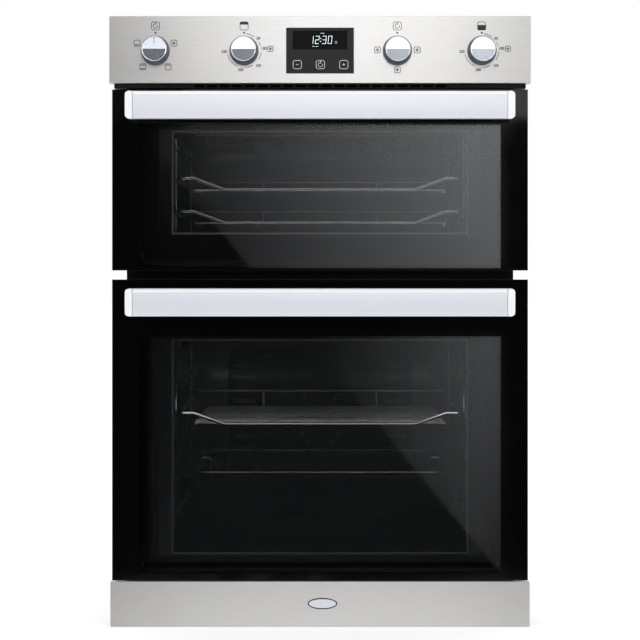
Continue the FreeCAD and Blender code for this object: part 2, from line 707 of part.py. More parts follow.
def handle_bar(z):
    """The broad flat bar, with rounded long edges."""
    half = HANDLE_HALF - HANDLE_CAP
    bar = wide_box(half, -HANDLE_PROUD, -HANDLE_PROUD + HANDLE_THICK,
                   z - HANDLE_HEIGHT / 2, z + HANDLE_HEIGHT / 2)
    bar = round_edges(bar, 2.5, long_in_x)
    groove = wide_box(half + 5, -HANDLE_PROUD + 8, -HANDLE_PROUD + HANDLE_THICK + 5, z - 13, z + 13)
    return bar.cut(round_edges(groove, 3, lambda b: long_in_x(b) and b.YMin < GLASS_Y - HANDLE_PROUD + 9))


def outer_front(bounds, inner):
    """True for the front edges of a handle end, apart from the one against the bar."""
    on_front = bounds.YMax < GLASS_Y - HANDLE_PROUD + 0.01
    against_bar = abs(bounds.XMin - inner) < 0.01 and abs(bounds.XMax - inner) < 0.01
    return on_front and not against_bar


def handle_end(side, z):
    """The moulded end of a handle: a cap that closes the bar and a post down to the glass."""
    inner = side * (HANDLE_HALF - HANDLE_CAP)
    outer = side * HANDLE_HALF
    cap = box(min(inner, outer), max(inner, outer), -HANDLE_PROUD, -HANDLE_PROUD + HANDLE_THICK,
              z - HANDLE_HEIGHT / 2, z + HANDLE_HEIGHT / 2)
    cap = round_edges(cap, 5, lambda b: long_in_y(b) and abs(b.XMin - outer) < 0.01)
    cap = round_edges(cap, 2.5, lambda b: outer_front(b, inner))
    post_inner = side * (HANDLE_HALF - 26)
    post = box(min(post_inner, outer - side * 2), max(post_inner, outer - side * 2),
               -HANDLE_PROUD + HANDLE_THICK, 0, z - 15, z + 15)
    post = round_edges(post, 5, long_in_y)
    stud = rod((side * HANDLE_POST_X, 0, z), (side * HANDLE_POST_X, GLASS + 6, z), 3)
    return fuse([cap, post, stud])


def handle_ends(z):
    return Part.makeCompound([handle_end(s, z) for s in SIDES])


# ---------------------------------------------------------------- racks, shelves and pan
def side_racks(levels, low, high):
    """A ladder of wire on each side wall, with pins to the wall."""
    racks = []
    front = 72.0
    rear = 418.0
    for s in SIDES:
        upright_x = s * (RACK_X + 4.2)
        wires = [rod((upright_x, y, low), (upright_x, y, high), WIRE) for y in (front + 8, rear - 8)]
        wires += [rod((s * RACK_X, front, z), (s * RACK_X, rear, z), WIRE) for z in levels]
        for y in (front + 8, rear - 8):
            for z in (low + 5, high - 5):
                wires.append(rod((upright_x, y, z), (s * CAVITY_HALF, y, z), 2))
        racks.append(fuse(wires))
    return Part.makeCompound(racks)


def upper_levels():
    first = SHELF_HEIGHTS["upper_shelf_bottom"] + SHELF_RISE - RACK_DROP
    return [first + RACK_PITCH_UPPER * i for i in range(3)]


def lower_levels():
    shelf_level = SHELF_HEIGHTS["lower_shelf"] + SHELF_RISE - RACK_DROP
    return [shelf_level + RACK_PITCH_LOWER * i for i in range(-3, 3)]


def wire_shelf(z):
    """A grid of thin wire inside a frame whose front bar dips in the middle."""
    high = z + SHELF_RISE
    stop = z + 25.0
    front = SHELF_FRONT
    rear = SHELF_REAR
    half = SHELF_HALF
    loop = [(-half, front, high), (-182, front, high), (-138, front, z), (138, front, z),
            (182, front, high), (half, front, high), (half, rear - 22, high), (half, rear, stop),
            (-half, rear, stop), (-half, rear - 22, high)]
    frame = bent_rod(loop, WIRE, 6, closed=True)
    grid_half = 183.0
    wires = [rod((-grid_half, front + 22 * i, z), (grid_half, front + 22 * i, z), THIN_WIRE)
             for i in range(1, 16)]
    below = z - 2.4
    bars = [rod((x, front + 12, below), (x, rear - 4, below), 2) for x in (-grid_half + 3, grid_half - 3)]
    for x in (-92, 92):
        run = [(x, front, z), (x, front + 12, below), (x, rear, below), (x, rear, stop)]
        bars.append(bent_rod(run, 2, 4))
    return fuse([frame] + wires + bars)


def grill_pan():
    """An enamelled tray with a rim that runs on the racks."""
    bottom = PAN_RIM_Z - PAN_DEPTH
    outside = wide_box(PAN_HALF, PAN_FRONT, PAN_REAR, bottom, PAN_RIM_Z - SHEET)
    outside = round_edges(outside, 14, long_in_z)
    inside = wide_box(PAN_HALF - SHEET, PAN_FRONT + SHEET, PAN_REAR - SHEET, bottom + SHEET, PAN_RIM_Z + 2)
    inside = round_edges(inside, 12.5, long_in_z)
    rim = wide_box(RACK_X + 1.5, PAN_FRONT - 4, PAN_REAR + 4, PAN_RIM_Z - SHEET, PAN_RIM_Z)
    rim = round_edges(rim, 10, long_in_z)
    return fuse([outside, rim]).cut(inside)


def grill_trivet():
    """A wire grid that stands in the pan, with a small lug at each front corner."""
    z = PAN_RIM_Z + 5.0
    half = TRIVET_HALF
    front = PAN_FRONT + 6
    rear = PAN_REAR - 8
    loop = [(-half, front, z), (half, front, z), (half, rear, z), (-half, rear, z)]
    frame = bent_rod(loop, WIRE, 8, closed=True)
    wires = [rod((21.0 * i, front, z), (21.0 * i, rear, z), THIN_WIRE) for i in range(-8, 9)]
    legs = [rod((sx * 150, y, PAN_RIM_Z - PAN_DEPTH + SHEET), (sx * 150, y, z), 2)
            for sx in SIDES for y in (front, rear)]
    lugs = []
    for s in SIDES:
        outer = s * half
        inner = s * (half - 14)
        lug = [(outer, front, z), (outer, front, z + 22), (inner, front, z + 22), (inner, front, z)]
        lugs.append(bent_rod(lug, 1.8, 4))
    return fuse([frame] + wires + legs + lugs)


# ---------------------------------------------------------------- the whole oven
def door_nodes(name, bottom, top, heights, handle_z, extra=()):
    return {
        name + "_door_outer_glass": outer_glass(bottom, top, handle_z),
        name + "_door_frame": door_frame(bottom, top, heights, list(extra)),
        name + "_door_inner_glass": inner_glass(bottom, heights),
        name + "_handle_bar": handle_bar(handle_z),
        name + "_handle_ends": handle_ends(handle_z),
        name + "_hinge_pins": hinge_pins(bottom),
    }


def all_nodes():
    nodes = {
        "base_plate": base_plate(),
        "left_side_panel": side_panel(-1),
        "right_side_panel": side_panel(1),
        "top_cover": top_cover(),
        "rear_panel": rear_panel(),
        "chassis_screws": chassis_screws(),
        "front_frame": front_frame(),
        "bottom_trim": bottom_trim(),
        "upper_cavity": cavity(UPPER_CAVITY, upper_holes()),
        "lower_cavity": cavity(LOWER_CAVITY, lower_holes()),
        "upper_insulation": insulation(UPPER_CAVITY, 12.0, upper_holes()),
        "lower_insulation": insulation(LOWER_CAVITY, 0.0, lower_holes()),
        "upper_door_seal": door_seal(UPPER_CAVITY),
        "lower_door_seal": door_seal(LOWER_CAVITY),
        "upper_lamp": lamp(UPPER_LAMP_Z),
        "lower_lamp": lamp(LOWER_LAMP_Z),
        "upper_grill_element": grill_element(),
        "upper_base_element": base_element(),
        "lower_ring_element": ring_element(),
        "oven_fan_impeller": oven_fan_impeller(),
        "oven_fan_motor": oven_fan_motor(),
        "fan_cover": fan_cover(),
        "cooling_fan_housing": cooling_fan_housing(),
        "cooling_fan_motor": cooling_fan_motor(),
        "cooling_fan_impeller": cooling_fan_impeller(),
        "fascia_panel": fascia_panel(),
        "display_window": display_window(),
        "control_bracket": control_bracket(),
        "timer_module": timer_module(),
        "air_outlet_grille": air_outlet_grille(),
        "terminal_box": terminal_box(),
        "hinge_arms": hinge_arms(),
        "upper_side_racks": side_racks(upper_levels(), UPPER_CAVITY[0] + 12, UPPER_CAVITY[1] - 22),
        "lower_side_racks": side_racks(lower_levels(), LOWER_CAVITY[0] + 30, LOWER_CAVITY[1] - 12),
        "lower_door_middle_glass": middle_glass(LOWER_CAVITY),
        "grill_pan": grill_pan(),
        "grill_trivet": grill_trivet(),
    }
    for name, x in KNOB_X.items():
        nodes[name + "_knob"] = knob(x)
        maker = function_switch if name.endswith("function") else thermostat
        nodes[name + ("_switch" if name.endswith("function") else "_body")] = maker(x)
    for name, z in SHELF_HEIGHTS.items():
        nodes[name] = wire_shelf(z)
    nodes.update(door_nodes("upper", UPPER_DOOR_BOTTOM, UPPER_DOOR_TOP, UPPER_CAVITY, UPPER_HANDLE_Z))
    nodes.update(door_nodes("lower", LOWER_DOOR_BOTTOM, LOWER_DOOR_TOP, LOWER_CAVITY, LOWER_HANDLE_Z,
                            glass_channels(LOWER_CAVITY)))
    return nodes


os.makedirs("parts", exist_ok=True)
for node, shape in all_nodes().items():
    shape.exportStep("parts/" + node + ".step")
    litres = round(shape.Volume / 1e6, 4)
    print(node, "solids", len(shape.Solids), "valid", shape.isValid(), "litres", litres)
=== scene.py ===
import math
import bmesh
import bpy
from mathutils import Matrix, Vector


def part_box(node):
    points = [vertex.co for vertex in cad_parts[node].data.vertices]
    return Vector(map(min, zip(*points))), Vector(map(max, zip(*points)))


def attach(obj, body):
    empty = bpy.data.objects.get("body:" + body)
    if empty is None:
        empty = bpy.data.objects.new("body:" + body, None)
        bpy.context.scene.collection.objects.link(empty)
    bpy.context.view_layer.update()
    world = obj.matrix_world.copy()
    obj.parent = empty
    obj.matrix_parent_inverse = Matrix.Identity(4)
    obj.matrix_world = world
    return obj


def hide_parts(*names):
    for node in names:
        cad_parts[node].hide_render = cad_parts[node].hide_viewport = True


# %% [markdown]
# # A built-in double wall oven
#
# A double oven is a sheet metal casing with two enamelled boxes in it, a glass door on each box, and a
# steel fascia with the dials on top. The casing, hinges and everything that moves is already designed
# to size, so it is loaded first and never moved. What a visitor sees, such as steel, glass, handles and
# dials, is then modelled round it, each piece in the place that the design gives.

# %% Load the finished design and note its size
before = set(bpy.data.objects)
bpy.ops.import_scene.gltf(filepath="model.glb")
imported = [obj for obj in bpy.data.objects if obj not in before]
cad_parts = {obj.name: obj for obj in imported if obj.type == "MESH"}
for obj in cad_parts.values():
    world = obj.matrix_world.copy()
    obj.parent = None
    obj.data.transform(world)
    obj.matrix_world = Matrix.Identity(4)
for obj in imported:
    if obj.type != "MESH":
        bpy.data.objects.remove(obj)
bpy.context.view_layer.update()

# %% [markdown]
# ## Landmarks
#
# Every piece takes its place from a part of the design. These few planes and corners are used again and
# again: the front of the door glass, the front of the fascia, and the middle of each dial.

# %% Landmarks
MM = 0.001
upper_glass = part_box("upper_door_outer_glass")
lower_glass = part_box("lower_door_outer_glass")
fascia_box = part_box("fascia_panel")
trim_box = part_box("bottom_trim")
display_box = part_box("display_window")
GLASS_FRONT = upper_glass[0].y
FASCIA_FRONT = fascia_box[0].y
DIALS = ("upper_function", "upper_thermostat", "lower_function", "lower_thermostat")


def middle(box):
    return (box[0] + box[1]) / 2


dial_centres = {name: middle(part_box(name + "_knob")) for name in DIALS}
print("glass front at y =", round(GLASS_FRONT, 4), "fascia front at y =", round(FASCIA_FRONT, 4))

# %% [markdown]
# ## Modelling by hand, in code
#
# At the bench you would add a cube, pull it to size, then push and pull its faces. The helpers below do
# just that with the same operators. Before each one, everything is let go, because an operator acts on
# all that is selected.


# %% Let go, start a block, pick faces
def let_go():
    if bpy.context.mode != "OBJECT":
        bpy.ops.object.mode_set(mode="OBJECT")
    bpy.ops.object.select_all(action="DESELECT")


def settle(piece):
    """Put the object's place into its mesh, so that the object sits at the origin."""
    let_go()
    bpy.context.view_layer.objects.active = piece
    piece.select_set(True)
    bpy.ops.object.transform_apply(location=True, rotation=True, scale=True)
    return piece


def start_block(name, low, high):
    let_go()
    low = Vector(low)
    high = Vector(high)
    bpy.ops.mesh.primitive_cube_add(size=1, location=(low + high) / 2)
    block = bpy.context.object
    block.name = name
    block.scale = high - low
    return settle(block)


def pick_faces(piece, wanted):
    """In edit mode, select the faces whose centre and normal pass the test."""
    bpy.context.view_layer.objects.active = piece
    piece.select_set(True)
    if bpy.context.mode != "EDIT_MESH":
        bpy.ops.object.mode_set(mode="EDIT")
    bpy.ops.mesh.select_mode(type="FACE")
    bpy.ops.mesh.select_all(action="DESELECT")
    cage = bmesh.from_edit_mesh(piece.data)
    cage.normal_update()
    for face in cage.faces:
        face.select = bool(wanted(face.calc_center_median(), face.normal))
    cage.select_flush_mode()
    bmesh.update_edit_mesh(piece.data)


def push(offset):
    """Extrude the picked faces and move them by offset."""
    bpy.ops.mesh.extrude_region_move(TRANSFORM_OT_translate={"value": offset})


print("bench ready")


# %% Finish a piece with modifiers
def apply_modifier(piece, kind, **settings):
    let_go()
    bpy.context.view_layer.objects.active = piece
    piece.select_set(True)
    modifier = piece.modifiers.new(kind.title(), kind)
    for key, value in settings.items():
        setattr(modifier, key, value)
    bpy.ops.object.modifier_apply(modifier=modifier.name)


def soften(piece, width, segments=3):
    """Break every sharp edge by a small radius; the flats keep their own shading."""
    smooth(piece)
    apply_modifier(piece, "BEVEL", width=width, segments=segments, limit_method="ANGLE",
                   angle_limit=math.radians(35), harden_normals=True)


def smooth(piece, degrees=35):
    let_go()
    bpy.context.view_layer.objects.active = piece
    piece.select_set(True)
    bpy.ops.object.shade_smooth_by_angle(angle=math.radians(degrees))


def join(name, pieces):
    let_go()
    for piece in pieces:
        piece.select_set(True)
    bpy.context.view_layer.objects.active = pieces[0]
    if len(pieces) > 1:
        bpy.ops.object.join()
    pieces[0].name = name
    return settle(pieces[0])


print("finishing tools ready")

# %% [markdown]
# ## Camera and light
#
# The oven is seen from straight in front, from a little above its middle, through a long lens, so that
# its edges stay parallel. A studio lights such a thing with large soft sources, and keeps the space
# behind the camera dark, or else the black glass would mirror the room. One bright card stands to the
# right of the camera, and its slanted edge is the diagonal gleam that runs across both doors.

# %% Camera
CAMERA_DISTANCE = 2.65
CAMERA_HEIGHT = 0.518
LENS = 105.6
LENS_SHIFT = -0.094

let_go()
bpy.ops.object.camera_add(location=(0, GLASS_FRONT - CAMERA_DISTANCE, CAMERA_HEIGHT),
                          rotation=(math.radians(90), 0, 0))
camera = bpy.context.object
camera.name = "studio_camera"
camera.data.lens = LENS
camera.data.shift_y = LENS_SHIFT
bpy.context.scene.camera = camera
print("camera stands", CAMERA_DISTANCE, "m in front of the doors")


# %% Soft lights
def soft_light(name, place, target, width, height, power):
    let_go()
    bpy.ops.object.light_add(type="AREA", location=place)
    light = bpy.context.object
    light.name = name
    light.data.shape = "RECTANGLE"
    light.data.size = width
    light.data.size_y = height
    light.data.energy = power
    light.rotation_mode = "QUATERNION"
    light.rotation_quaternion = (Vector(target) - Vector(place)).to_track_quat("-Z", "Y")
    light.visible_camera = False
    return light


CARD_PLANE = GLASS_FRONT - 2.035
soft_light("key_light", (0.07, CARD_PLANE - 0.02, 1.245), (0.07, 0, 1.245), 0.82, 0.74, 4.1)
soft_light("wide_light", (0.07, CARD_PLANE, 1.295), (0.07, 0, 1.295), 1.7, 0.84, 0.6)
soft_light("dial_light", (0, CARD_PLANE - 0.06, 1.44), (0, 0, 1.44), 1.0, 0.16, 0.5)
soft_light("low_strip_light", (0.12, CARD_PLANE - 0.04, 0.935), (0.12, 0, 0.935), 0.92, 0.12, 0.8)
soft_light("left_light", (-2.0, -1.9, 1.0), (0, -0.2, 0.45), 1.2, 2.0, 9)
soft_light("right_light", (2.0, -1.9, 1.0), (0, -0.2, 0.45), 1.2, 2.0, 11)
soft_light("overhead_light", (0, -0.3, 2.6), (0, 0, 0.4), 2.2, 2.2, 10)
cavity_lights = {"upper": (0.706, 0.57, 0.05), "lower": (0.305, 0.275, 0.05)}
for name, (height, aim, power) in cavity_lights.items():
    soft_light(name + "_cavity_light", (0, GLASS_FRONT + 0.05, height), (0, GLASS_FRONT + 0.12, aim),
               0.40, 0.02, power)
print("soft lights ready")


# %% The room: bright behind the oven, dark behind the camera
def build_world():
    world = bpy.data.worlds.new("studio")
    bpy.context.scene.world = world
    world.use_nodes = True
    tree = world.node_tree
    background = tree.nodes["Background"]
    background.inputs["Strength"].default_value = 1.0
    place = tree.nodes.new("ShaderNodeTexCoord")
    forward = tree.nodes.new("ShaderNodeVectorMath")
    forward.operation = "DOT_PRODUCT"
    forward.inputs[1].default_value = (0, -1, 0)
    ramp = tree.nodes.new("ShaderNodeValToRGB")
    ramp.color_ramp.elements[0].position = 0.55
    ramp.color_ramp.elements[0].color = (1, 1, 1, 1)
    ramp.color_ramp.elements[1].position = 0.93
    ramp.color_ramp.elements[1].color = (0.001, 0.001, 0.0012, 1)
    tree.links.new(place.outputs["Generated"], forward.inputs[0])
    tree.links.new(forward.outputs["Value"], ramp.inputs["Fac"])
    tree.links.new(ramp.outputs["Color"], background.inputs["Color"])
    bpy.context.scene.view_settings.view_transform = "Standard"


build_world()
print("world ready")


# %% [markdown]
# ## Finishes
#
# A finish is never one flat colour. Each material below takes the object's own coordinates, stretches a
# noise over them as the real finish runs, and lets it steer colour, roughness and a fine bump: long lines
# for brushed steel, fine specks for enamel, soft clouds for zinc.

# %% Material tools
def new_finish(name, colour, metallic=0.0, roughness=0.5, **sockets):
    material = bpy.data.materials.new(name)
    material.use_nodes = True
    shader = material.node_tree.nodes["Principled BSDF"]
    shader.inputs["Base Color"].default_value = (*colour, 1)
    shader.inputs["Metallic"].default_value = metallic
    shader.inputs["Roughness"].default_value = roughness
    for key, value in sockets.items():
        shader.inputs[key.replace("_", " ")].default_value = value
    return material


def texture(material, stretch, detail=3.0):
    """Noise over the piece's own coordinates; returns its value socket."""
    tree = material.node_tree
    place = tree.nodes.new("ShaderNodeTexCoord")
    mapping = tree.nodes.new("ShaderNodeMapping")
    mapping.inputs["Scale"].default_value = stretch
    noise = tree.nodes.new("ShaderNodeTexNoise")
    noise.inputs["Scale"].default_value = 1.0
    noise.inputs["Detail"].default_value = detail
    tree.links.new(place.outputs["Object"], mapping.inputs["Vector"])
    tree.links.new(mapping.outputs["Vector"], noise.inputs["Vector"])
    return noise.outputs["Fac"]


def vary(material, value, socket, low, high, start=0.35, end=0.65):
    """Let a texture value move a shader number between low and high."""
    tree = material.node_tree
    spread = tree.nodes.new("ShaderNodeMapRange")
    spread.inputs["From Min"].default_value = start
    spread.inputs["From Max"].default_value = end
    spread.inputs["To Min"].default_value = low
    spread.inputs["To Max"].default_value = high
    tree.links.new(value, spread.inputs["Value"])
    tree.links.new(spread.outputs["Result"], tree.nodes["Principled BSDF"].inputs[socket])


def tint(material, value, dark, light, start=0.3, end=0.7):
    """Let a texture value run the base colour from dark to light."""
    tree = material.node_tree
    ramp = tree.nodes.new("ShaderNodeValToRGB")
    ramp.color_ramp.elements[0].position = start
    ramp.color_ramp.elements[0].color = (*dark, 1)
    ramp.color_ramp.elements[1].position = end
    ramp.color_ramp.elements[1].color = (*light, 1)
    tree.links.new(value, ramp.inputs["Fac"])
    tree.links.new(ramp.outputs["Color"], tree.nodes["Principled BSDF"].inputs["Base Color"])


def emboss(material, value, strength, distance):
    """Let a texture value raise a fine bump, distance in metres."""
    tree = material.node_tree
    bump = tree.nodes.new("ShaderNodeBump")
    bump.inputs["Strength"].default_value = strength
    bump.inputs["Distance"].default_value = distance
    tree.links.new(value, bump.inputs["Height"])
    tree.links.new(bump.outputs["Normal"], tree.nodes["Principled BSDF"].inputs["Normal"])


print("material tools ready")


# %% Brushed stainless steel
def brushed_steel(name, stretch):
    steel = new_finish(name, (0.66, 0.65, 0.64), 1.0, 0.34)
    grain = texture(steel, stretch, 2.0)
    tint(steel, grain, (0.63, 0.623, 0.617), (0.705, 0.698, 0.69))
    vary(steel, grain, "Roughness", 0.31, 0.37)
    emboss(steel, grain, 0.08, 0.00004)
    return steel


steel_across = brushed_steel("brushed_steel_across", (30, 1400, 2200))
print("brushed steel")


# %% Satin aluminium, chrome and zinc
satin = new_finish("satin_aluminium", (0.72, 0.745, 0.79), 0.3, 0.42)
satin_grain = texture(satin, (9, 1400, 1400), 2.0)
tint(satin, satin_grain, (0.71, 0.735, 0.785), (0.735, 0.76, 0.805))
vary(satin, satin_grain, "Roughness", 0.39, 0.45)

# The caps' own silver finish, also laid on the handles' upper round as a painted highlight
cap_silver_and_painted_highlight = new_finish("cap_silver_and_painted_highlight", (0.83, 0.85, 0.88), 0.1, 0.4)
cap_grain = texture(cap_silver_and_painted_highlight, (500, 500, 500), 2.0)
vary(cap_silver_and_painted_highlight, cap_grain, "Roughness", 0.36, 0.44)

chrome_wire = new_finish("chrome_wire", (0.80, 0.80, 0.81), 1.0, 0.14)
chrome_cloud = texture(chrome_wire, (60, 60, 60), 2.0)
vary(chrome_wire, chrome_cloud, "Roughness", 0.08, 0.24)

rack_wire = new_finish("dull_rack_wire", (0.26, 0.27, 0.28), 1.0, 0.3)
rack_cloud = texture(rack_wire, (60, 60, 60), 2.0)
vary(rack_wire, rack_cloud, "Roughness", 0.22, 0.38)

knob_chrome = new_finish("knob_chrome", (0.72, 0.77, 0.86), 0.82, 0.07)
knob_cloud = texture(knob_chrome, (300, 300, 300), 2.0)
vary(knob_chrome, knob_cloud, "Roughness", 0.05, 0.10)

# Dial skirt: a dark grey that is partly the skirt's own tone and partly painted shade for the shadowed side
# of each dial
skirt_grey_and_painted_shade = new_finish("dark_skirt_and_painted_shade", (0.055, 0.06, 0.07), 0.0, 0.35, Specular_IOR_Level=0.25)
skirt_cloud = texture(skirt_grey_and_painted_shade, (300, 300, 300), 2.0)
vary(skirt_grey_and_painted_shade, skirt_cloud, "Roughness", 0.3, 0.42)

zinc = new_finish("galvanised_steel", (0.6, 0.61, 0.62), 0.75, 0.42)
spangle = texture(zinc, (130, 130, 130), 1.0)
tint(zinc, spangle, (0.55, 0.56, 0.57), (0.63, 0.637, 0.645), 0.35, 0.65)
vary(zinc, spangle, "Roughness", 0.38, 0.48)
emboss(zinc, spangle, 0.1, 0.0001)
print("metals")


# %% Enamel, plastics, rubber and wool
def enamel(name, colour, fleck, roughness, gloss):
    coat = new_finish(name, colour, 0.0, roughness, Coat_Weight=gloss, Coat_Roughness=0.08,
                      Specular_IOR_Level=gloss)
    specks = texture(coat, (900, 900, 900), 2.0)
    tint(coat, specks, colour, fleck, 0.60, 0.72)
    waves = texture(coat, (45, 45, 45), 2.0)
    emboss(coat, waves, 0.12, 0.0004)
    return coat


cavity_enamel = enamel("cavity_enamel", (0.013, 0.0135, 0.015), (0.028, 0.028, 0.031), 0.3, 0.4)
black_enamel = enamel("black_enamel", (0.006, 0.006, 0.007), (0.012, 0.012, 0.013), 0.35, 0.08)


def moulded(name, colour, light, roughness, shine=0.5):
    plastic = new_finish(name, colour, 0.0, roughness, Specular_IOR_Level=shine)
    pores = texture(plastic, (1500, 1500, 1500), 2.0)
    tint(plastic, pores, colour, light)
    vary(plastic, pores, "Roughness", roughness - 0.06, roughness + 0.08)
    emboss(plastic, pores, 0.2, 0.0001)
    return plastic


black_plastic = moulded("black_plastic", (0.007, 0.007, 0.008), (0.012, 0.012, 0.013), 0.45, 0.1)
cream_plastic = moulded("cream_plastic", (0.62, 0.58, 0.46), (0.70, 0.66, 0.55), 0.5)
rubber = moulded("seal_rubber", (0.018, 0.018, 0.018), (0.035, 0.034, 0.033), 0.7)
bezel_grey = moulded("bezel_grey", (0.017, 0.017, 0.018), (0.023, 0.023, 0.024), 0.42, 0.14)

wool = new_finish("mineral_wool", (0.5, 0.44, 0.28), 0.0, 0.95)
fibres = texture(wool, (200, 200, 200), 8.0)
tint(wool, fibres, (0.36, 0.31, 0.18), (0.66, 0.60, 0.42))
emboss(wool, fibres, 0.8, 0.002)

incoloy = new_finish("heating_element", (0.05, 0.045, 0.04), 0.8, 0.5)
scale_marks = texture(incoloy, (120, 120, 120), 4.0)
tint(incoloy, scale_marks, (0.03, 0.027, 0.025), (0.08, 0.07, 0.06))
vary(incoloy, scale_marks, "Roughness", 0.4, 0.65)
print("enamel, plastic, rubber, wool, element")


# %% Glass: printed black border, coated window, clear panes
printed_glass = new_finish("printed_black_glass", (0.0016, 0.0016, 0.0018), 0.0, 0.06,
                           Specular_IOR_Level=0.22)
frit = texture(printed_glass, (25, 25, 25), 2.0)
vary(printed_glass, frit, "Roughness", 0.05, 0.08)

screen_glass = new_finish("black_screen_glass", (0.001, 0.001, 0.001), 0.0, 0.08,
                          Specular_IOR_Level=0.05)
window_glass = new_finish("coated_window_glass", (0.34, 0.35, 0.36), 1.0, 0.02, Alpha=0.24)
clear_glass = new_finish("clear_glass", (0.10, 0.11, 0.11), 0.3, 0.03, Alpha=0.10)
inner_print = new_finish("inner_pane_print", (0.004, 0.004, 0.005), 0.0, 0.2)
for pane_glass in (window_glass, clear_glass, inner_print, screen_glass):
    haze = texture(pane_glass, (12, 12, 12), 2.0)
    base = pane_glass.node_tree.nodes["Principled BSDF"].inputs["Roughness"].default_value
    vary(pane_glass, haze, "Roughness", base, base + 0.02)
print("glass")


# %% Print inks
def ink(name, colour, glow=0.0):
    colour_ink = new_finish(name, colour, 0.0, 0.5)
    shader = colour_ink.node_tree.nodes["Principled BSDF"]
    shader.inputs["Emission Color"].default_value = (*colour, 1)
    shader.inputs["Emission Strength"].default_value = glow
    dots = texture(colour_ink, (2500, 2500, 2500), 1.0)
    vary(colour_ink, dots, "Roughness", 0.4, 0.6)
    return colour_ink


dark_ink = ink("dark_ink", (0.02, 0.019, 0.018))
white_ink = ink("white_ink", (0.70, 0.70, 0.70), 0.1)
lit_digits = ink("lit_digits", (0.85, 0.95, 1.0), 0.75)
print("inks")


# %% [markdown]
# ## Dress the design's own parts
#
# Most of the hidden and structural parts already have their true shape, so they only need a finish. The
# table below says which finish each one wears.

# %% Finishes for the parts that stay as designed
def dress(node, material):
    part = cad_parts[node]
    if not part.material_slots:
        part.data.materials.append(material)
    for part_slot in part.material_slots:
        part_slot.material = material


wardrobe = {
    zinc: ("base_plate", "left_side_panel", "right_side_panel", "top_cover", "rear_panel",
           "control_bracket", "cooling_fan_housing", "cooling_fan_motor", "cooling_fan_impeller",
           "oven_fan_motor", "hinge_arms", "chassis_screws"),
    black_enamel: ("front_frame", "upper_door_frame", "lower_door_frame", "fan_cover",
                   "oven_fan_impeller"),
    cavity_enamel: ("upper_cavity", "lower_cavity", "grill_pan"),
    wool: ("upper_insulation", "lower_insulation"),
    rubber: ("upper_door_seal", "lower_door_seal"),
    clear_glass: ("upper_lamp", "lower_lamp", "lower_door_middle_glass"),
    incoloy: ("upper_grill_element", "upper_base_element", "lower_ring_element",
              "upper_hinge_pins", "lower_hinge_pins"),
    black_plastic: ("air_outlet_grille", "terminal_box", "timer_module"),
    cream_plastic: ("upper_function_switch", "lower_function_switch",
                    "upper_thermostat_body", "lower_thermostat_body"),
    chrome_wire: ("upper_shelf_top", "upper_shelf_bottom", "lower_shelf", "grill_trivet"),
    rack_wire: ("upper_side_racks", "lower_side_racks"),
}
for material, nodes in wardrobe.items():
    for node in nodes:
        dress(node, material)
print("dressed", sum(len(nodes) for nodes in wardrobe.values()), "parts")


def wear(piece, material):
    piece.data.materials.clear()
    piece.data.materials.append(material)


# %% [markdown]
# ## Fascia and bottom trim
#
# Each is folded from one sheet of brushed stainless steel: a flat face with its edges turned back. A
# block is pulled to the outer size, its back face is inset by the sheet's thickness and pushed forward,
# which leaves a shallow tray, and the folds get a small radius.

# %% Fold a tray from sheet
SHEET = 1.5 * MM


def fold_tray(name, low, high, depth, edge_radius):
    """A block whose back is hollowed out, as a sheet with its four edges turned back."""
    tray = start_block(name, low, high)
    pick_faces(tray, lambda centre, normal: normal.y > 0.9)
    bpy.ops.mesh.inset(thickness=SHEET)
    push((0, -depth, 0))
    let_go()
    soften(tray, edge_radius)
    return tray


low, high = fascia_box
fascia = fold_tray("fascia", low, high, high.y - low.y - SHEET, 0.9 * MM)
wear(fascia, steel_across)
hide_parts("fascia_panel")
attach(fascia, "casing")
print("fascia", [round(v, 3) for v in high - low])

# %% Bottom trim with its two brackets
low, high = trim_box
TRIM_DEPTH = 12 * MM
trim_face = fold_tray("trim_face", low, (high.x, low.y + TRIM_DEPTH, high.z), TRIM_DEPTH - SHEET,
                      0.7 * MM)
BRACKET_X = 0.18
brackets = []
for side in (-1, 1):
    x = side * BRACKET_X
    foot = start_block("foot", (x - 0.015, low.y + 2 * MM, low.z + SHEET),
                       (x + 0.015, high.y - 0.1 * MM, low.z + SHEET + 2 * MM))
    pick_faces(foot, lambda centre, normal: normal.z > 0.9)
    bpy.ops.mesh.bisect(plane_co=(0, high.y - 2 * MM, 0), plane_no=(0, 1, 0))
    pick_faces(foot, lambda centre, normal: normal.z > 0.9 and centre.y > high.y - 2 * MM)
    push((0, 0, 0.026))
    let_go()
    soften(foot, 0.4 * MM, 2)
    brackets.append(foot)
trim = join("bottom_trim_panel", [trim_face] + brackets)
wear(trim, steel_across)
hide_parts("bottom_trim")
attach(trim, "casing")
print("trim", [round(v, 3) for v in high - low])

# %% [markdown]
# ## Badge
#
# A small oval plate is glued in the middle of the trim. It stays blank here: a dark oval, and a bright oval
# a little smaller in front of it, so that a dark rim shows.

# %% Oval plate
def oval(name, width, height, back, thickness, centre_z):
    let_go()
    bpy.ops.mesh.primitive_cylinder_add(vertices=64, radius=0.5, depth=1, rotation=(math.radians(90), 0, 0))
    plate = settle(bpy.context.object)
    plate.name = name
    plate.scale = (width, thickness, height)
    plate.location = (0.0035, back - thickness / 2, centre_z)
    settle(plate)
    soften(plate, thickness * 0.3, 2)
    return plate


BADGE_Z = 0.033
badge_back = trim_box[0].y + 0.1 * MM
rim = oval("badge_rim", 42 * MM, 16 * MM, badge_back, 0.5 * MM, BADGE_Z)
wear(rim, bezel_grey)
face_plate = oval("badge_face", 38.5 * MM, 12.8 * MM, badge_back, 0.7 * MM, BADGE_Z)
wear(face_plate, satin)
badge = join("blank_badge", [rim, face_plate])
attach(badge, "casing")
print("badge 42 mm wide")

